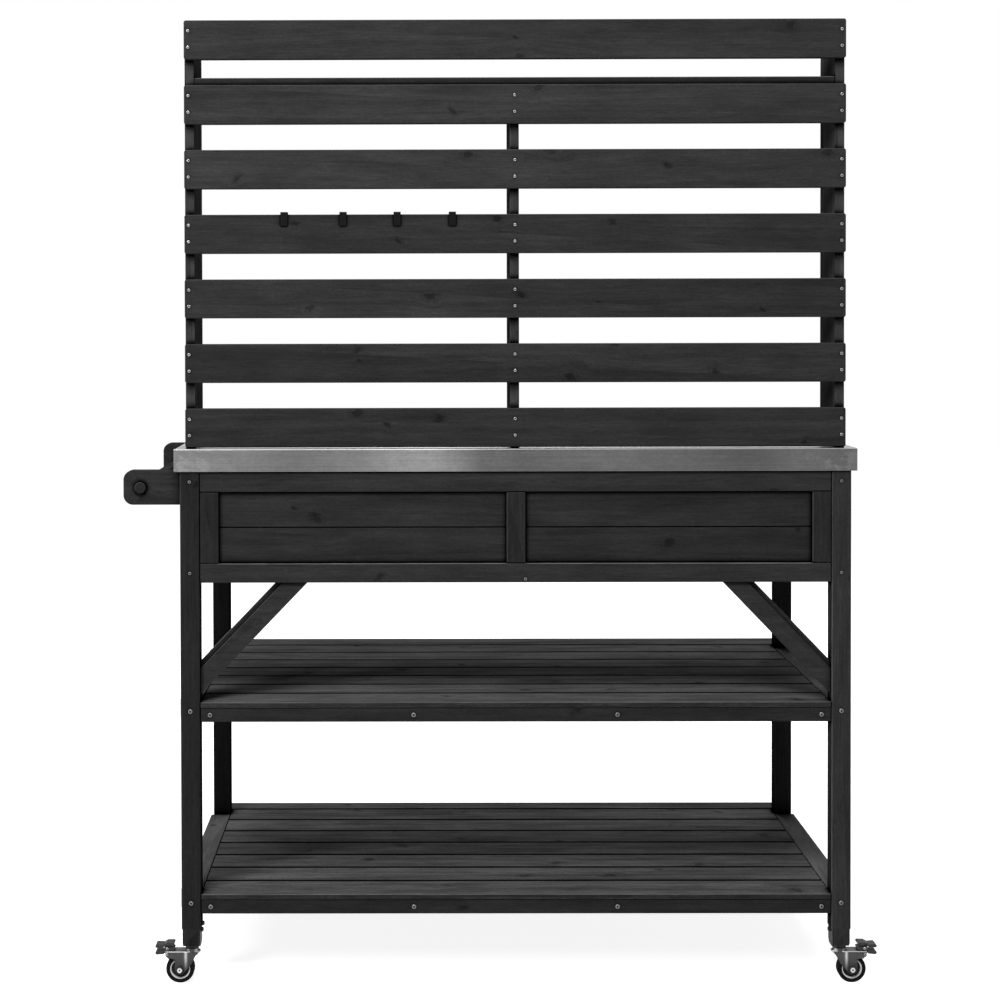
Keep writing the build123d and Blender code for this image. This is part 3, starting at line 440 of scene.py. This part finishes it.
# ---------------------------------------------------------------- materials
wood_slat = stained("wood_slats", "X", "Z", 0.033, 0.0, edge_highlight=1.0, lighter_upwards=(0.95, 1.65))
wood_x = stained("wood_along_x", "X", "Z", 0.0293, 1.0, edge_highlight=4.5)
wood_brace = stained("wood_braces", "X", "Z", 0.0293, 6.0, edge_highlight=2.0, lit=4.5, corner_shade=0.35)
wood_panel = stained("wood_panels", "X", "Z", 0.0253, 2.0)
wood_low = stained("wood_shelf_rails", "X", "Z", 0.0229, 3.0, edge_highlight=4.5)
HALF_GAP = 0.00125    # half the gap between two deck boards
boards = sorted(low.y for low, _ in solids("middle_shelf_boards"))
laid = (boards[1] - HALF_GAP, boards[2] - boards[1])
wood_deck = stained("wood_deck", "X", "Y", 0.102, 5.0, 0.8, 1.5, edge_highlight=0.5, joints=laid, front_face_shade=0.3)
wood_shelf = stained("wood_top_shelf", "X", "Y", 0.0675, 7.0, 0.8, front_face_shade=0.45)
wood_y = stained("wood_along_y", "Y", "Z", 0.033, 9.0)
wood_side = stained("wood_side_rails", "Y", "X", 0.117, 11.0, 0.8)
wood_z = stained("wood_along_z", "Z", "X", 0.0225, 14.0, edge_highlight=3.0)
wood_right = stained("wood_right_leg", "Z", "X", 0.0345, 15.0, edge_highlight=3.0)
# painted shade: the front legs, in shade under the worktop, get darker copies of the leg stain
shaded_front_leg_left = stained("wood_front_leg_left_shaded", "Z", "X", 0.0105, 17.0)
shaded_front_leg_right = stained("wood_front_leg_right_shaded", "Z", "X", 0.024, 18.0)
wood_up = stained("wood_uprights", "Z", "Y", 0.051, 21.0)
inner_x = stained("wood_inner", "X", "Y", 0.075, 31.0, 0.7)
sheet_mat = brushed_sheet("worktop_steel")
# painted highlights and painted shade for plated steel
plated_light_and_shade = dict(corner=0.4, gap_shade=0.1, rim=0.135)
plated = metal("plated_steel", 0.061, 0.4, 0.3, **plated_light_and_shade)
bracket = metal("bracket_steel", 0.0116, 0.45, 0.1, gap_shade=0.15, rim=0.29)
dull = metal("dull_screws", 0.029, 0.45, 0.1, gap_shade=0.15)
zinc = metal("zinc_hardware", 0.29, 0.3, gap_shade=0.05)
grey_zinc = metal("zinc_darker", 0.18, 0.35, 0.6, gap_shade=0.05)
black_steel = moulded("hook_black", 0.006, 0.6, 0.05)
tread_mat = moulded("tread_plastic", 0.045, 0.5, 0.1, corner=0.09)
tyre_mat = moulded("tyre_rubber", 0.009, 0.7, 0.02)


def paint(material, *names):
    for n in names:
        mesh = nodes[n].data
        mesh.materials.clear()
        mesh.materials.append(material)


paint(wood_slat, "backrest_slats")
paint(wood_x, "apron_top_rails", "apron_bottom_rails", "drawer_front_left", "drawer_front_right", "handle_plates")
paint(wood_brace, "corner_braces")
paint(wood_panel, "back_panel_boards")
paint(wood_low, "lower_shelf_rails", "middle_shelf_rails")
paint(wood_deck, "lower_shelf_boards", "middle_shelf_boards")
paint(wood_shelf, "top_shelf")
paint(wood_y, "end_panels", "handle_bar", "drawer_knob_left", "drawer_knob_right")
paint(wood_side, "lower_shelf_bearers", "middle_shelf_bearers")
paint(wood_z, "leg_back_left", "back_battens", "drawer_divider")
paint(wood_right, "leg_back_right")
paint(shaded_front_leg_left, "leg_front_left")
paint(shaded_front_leg_right, "leg_front_right")
paint(wood_up, "hutch_sides", "hutch_middle")
paint(inner_x, "drawer_box_left", "drawer_box_right", "drawer_runners", "worktop_core")
paint(sheet_mat, "worktop_sheet")
paint(zinc, "wood_screws", "caster_kingpins")
paint(dull, "socket_screws")
paint(bracket, "caster_sockets")
paint(black_steel, "hook_1", "hook_2", "hook_3", "hook_4")
# the fork's painted bend highlight runs at this distance from the axle
FORK_BEND = 0.0105    # from the wheel's axle to the fork's upright bend
RIM_RING = (0.0158, 0.0181)    # inner and outer radius of the bright rings on a wheel and its bolt
BOLT_RING = (0.0017, 0.0042)
for place in ("back_left", "back_right", "front_left", "front_right"):
    paint(tyre_mat, f"caster_tyre_{place}")
    low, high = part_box(f"caster_wheel_{place}")
    hub = [(a + b) / 2 for a, b in zip(low, high)]
    bend = hub[0] + (FORK_BEND if place.endswith("left") else -FORK_BEND)
    fork = metal(f"fork_steel_{place}", 0.061, 0.4, 0.3, bend_highlight=(bend, hub[2] - 0.004, hub[2] + 0.022), **plated_light_and_shade)
    paint(fork, f"caster_fork_{place}")
    # wheel core: its light rim, with the ground inside painted dark as the shade on its recessed web; bolt: a
    # painted highlight ring on dark steel
    paint(turned(f"wheel_core_{place}", hub, RIM_RING), f"caster_wheel_{place}")
    paint(turned(f"axle_steel_{place}", hub, BOLT_RING, 0.09), f"caster_axle_{place}")
for side in ("left", "right"):
    paint(plated, f"brake_lever_back_{side}")
    paint(tread_mat, f"brake_treads_back_{side}")


# ---------------------------------------------------------------- screw and pin heads
SIDES = 32
RECESS_LONG, RECESS_SHORT = 0.58, 0.36    # the cross recess: its arms and its inner corners, shares of the radius
# rings from the rim to the recess floor: share of the radius, share of the height, whether it follows the cross
HEAD_RINGS = ((1.0, 0.0, False), (1.0, 0.35, False), (0.93, 0.62, False), (0.80, 0.84, False), (0.08, 1.0, True),
              (0.0, 0.95, True), (-0.05, 0.0, True))
SHELF_HEAD, SLAT_HEAD = 0.0041, 0.0030    # radii
SHELVES_TOP, WORKTOP_TOP = 0.5, 0.95    # heights: larger heads below the first, darker ones below the second
PIN_HEAD, PIN_HEIGHT, PIN_ANGLE = 0.0027, 0.0014, 0.3


def pan_head(bm, centre, radius, height, angle, finish=0):
    """A domed head on a face that looks along -Y, its cross recess turned by an angle."""
    arms = [RECESS_LONG if i % 8 in (7, 0, 1) else RECESS_SHORT for i in range(SIDES)]
    rows = []
    for share, rise, follows in HEAD_RINGS:
        row = []
        for i, arm in enumerate(arms):
            r = radius * (arm + share if follows else share)
            a = angle + math.tau * i / SIDES
            row.append(bm.verts.new(centre + Vector((r * math.cos(a), -height * rise, r * math.sin(a)))))
        rows.append(row)
    for lower, upper in zip(rows, rows[1:]):
        for i in range(SIDES):
            bm.faces.new((lower[i], upper[i], upper[i - 1], lower[i - 1])).material_index = finish
    bm.faces.new(rows[-1]).material_index = finish


def piece(name, bm, *materials):
    """The mesh that bm holds, as a new object in the scene."""
    mesh = bpy.data.meshes.new(name)
    bm.to_mesh(mesh)
    bm.free()
    for material in materials:
        mesh.materials.append(material)
    made = bpy.data.objects.new(name, mesh)
    bpy.context.scene.collection.objects.link(made)
    return made


bm = bmesh.new()
for low, high in solids("wood_screws"):
    middle = (low + high) / 2
    middle.y = high.y
    pan_head(bm, middle, SHELF_HEAD if middle.z < SHELVES_TOP else SLAT_HEAD, high.y - low.y,
             random.uniform(0.0, math.tau), int(middle.z < WORKTOP_TOP))
bmesh.ops.recalc_face_normals(bm, faces=bm.faces)
heads = piece("screw_heads", bm, zinc, grey_zinc)
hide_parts("wood_screws")
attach(heads, "frame")

# each lock has a pin head on its treads and one over its pivot, both turning with the lever
for side, sign in (("left", -1.0), ("right", 1.0)):
    low, high = (Vector(v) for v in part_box(f"brake_treads_back_{side}"))
    across = (high.x if side == "left" else low.x) + sign * 0.0125
    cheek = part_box(f"caster_fork_back_{side}")[0][1]
    for kind, y, z in (("tread", low.y + 0.0004, low.z + 0.0102), ("pivot", cheek - 0.0001, low.z + 0.0012)):
        bm = bmesh.new()
        pan_head(bm, Vector((across, y, z)), PIN_HEAD, PIN_HEIGHT, PIN_ANGLE)
        bmesh.ops.recalc_face_normals(bm, faces=bm.faces)
        pin = piece(f"{kind}_pin_{side}", bm, zinc)
        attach(pin, f"brake_back_{side}")

# ---------------------------------------------------------------- camera
# fitted to the photograph's perspective; the shift keeps uprights upright
CAMERA_PLACE = (-0.14258, -3.53784, 1.18887)
PITCH_YAW_ROLL = (0.894, -0.276, -0.134)    # degrees
LENS, SENSOR = 66.132, 36.0    # millimetres
SHIFT = (0.09128, -0.16034)    # shares of the picture

cam_data = bpy.data.cameras.new("camera")
cam_data.sensor_width = SENSOR
cam_data.lens = LENS
cam_data.shift_x, cam_data.shift_y = SHIFT
cam_data.clip_end = 60.0
camera = bpy.data.objects.new("camera", cam_data)
bpy.context.scene.collection.objects.link(camera)
pitch, yaw, roll = (math.radians(v) for v in PITCH_YAW_ROLL)
forward = Vector((math.sin(yaw) * math.cos(pitch), math.cos(yaw) * math.cos(pitch), -math.sin(pitch)))
right = Vector((math.cos(yaw), -math.sin(yaw), 0.0))
up = right.cross(forward)
right, up = right * math.cos(roll) + up * math.sin(roll), up * math.cos(roll) - right * math.sin(roll)
turn = Matrix((right, up, -forward)).transposed()
camera.matrix_world = Matrix.Translation(CAMERA_PLACE) @ turn.to_4x4()
bpy.context.scene.camera = camera


# ---------------------------------------------------------------- light and floor
ROOM_LIGHT = 0.107
FLOOR_GREY, FLOOR_GLOW, FLOOR_SIZE = 0.8, 0.87, 12.0
# name, place, target, size, watts
LAMPS = (("key", (-2.9, -3.5, 2.7), (0.0, -0.2, 0.85), (0.75, 0.75), 48),
         ("over_back", (-0.9, -2.9, 3.9), (0.0, -0.3, 0.9), (2.4, 1.6), 150),
         ("over_front", (0.4, 3.2, 3.6), (0.0, 0.2, 0.6), (2.6, 1.8), 113))


def seen_as_backdrop(nt):
    """1 for camera, mirror and glass rays, 0 for the rays that light the object."""
    rays = nt.nodes.new("ShaderNodeLightPath")
    total = rays.outputs["Is Camera Ray"]
    for kind in ("Is Glossy Ray", "Is Transmission Ray"):
        either = nt.nodes.new("ShaderNodeMath")
        either.operation = "MAXIMUM"
        nt.links.new(total, either.inputs[0])
        nt.links.new(rays.outputs[kind], either.inputs[1])
        total = either.outputs[0]
    return total


world = bpy.data.worlds.new("studio")
bpy.context.scene.world = world
world.use_nodes = True
wt = world.node_tree
wt.nodes.clear()
out = wt.nodes.new("ShaderNodeOutputWorld")
mix = wt.nodes.new("ShaderNodeMixShader")
room = wt.nodes.new("ShaderNodeBackground")
room.inputs["Strength"].default_value = ROOM_LIGHT
white = wt.nodes.new("ShaderNodeBackground")
for background in (room, white):
    background.inputs["Color"].default_value = (1, 1, 1, 1)
wt.links.new(seen_as_backdrop(wt), mix.inputs[0])
wt.links.new(room.outputs[0], mix.inputs[1])
wt.links.new(white.outputs[0], mix.inputs[2])
wt.links.new(mix.outputs[0], out.inputs[0])


def area(name, place, target, size, power):
    data = bpy.data.lights.new(name, "AREA")
    data.shape = "RECTANGLE"
    data.size, data.size_y = size
    data.energy = power
    light = bpy.data.objects.new(name, data)
    light.location = place
    light.rotation_euler = (Vector(target) - Vector(place)).to_track_quat("-Z", "Y").to_euler()
    bpy.context.scene.collection.objects.link(light)


for lamp in LAMPS:
    area(*lamp)

# the floor: a pale floor that its own glow lifts to white, so only the object's shadow shows on it
ground = Tree("floor_white", 0.9)
ground.bsdf.inputs["Base Color"].default_value = (FLOOR_GREY, FLOOR_GREY, FLOOR_GREY, 1)
ground.bsdf.inputs["Emission Color"].default_value = (1, 1, 1, 1)
ground.put(ground.bsdf.inputs["Emission Strength"],
           ground.math("MULTIPLY", seen_as_backdrop(ground.nt), FLOOR_GLOW))
bm = bmesh.new()
bmesh.ops.create_grid(bm, x_segments=4, y_segments=4, size=FLOOR_SIZE)
piece("floor", bm, ground.mat)

bpy.context.scene.view_settings.view_transform = "Standard"
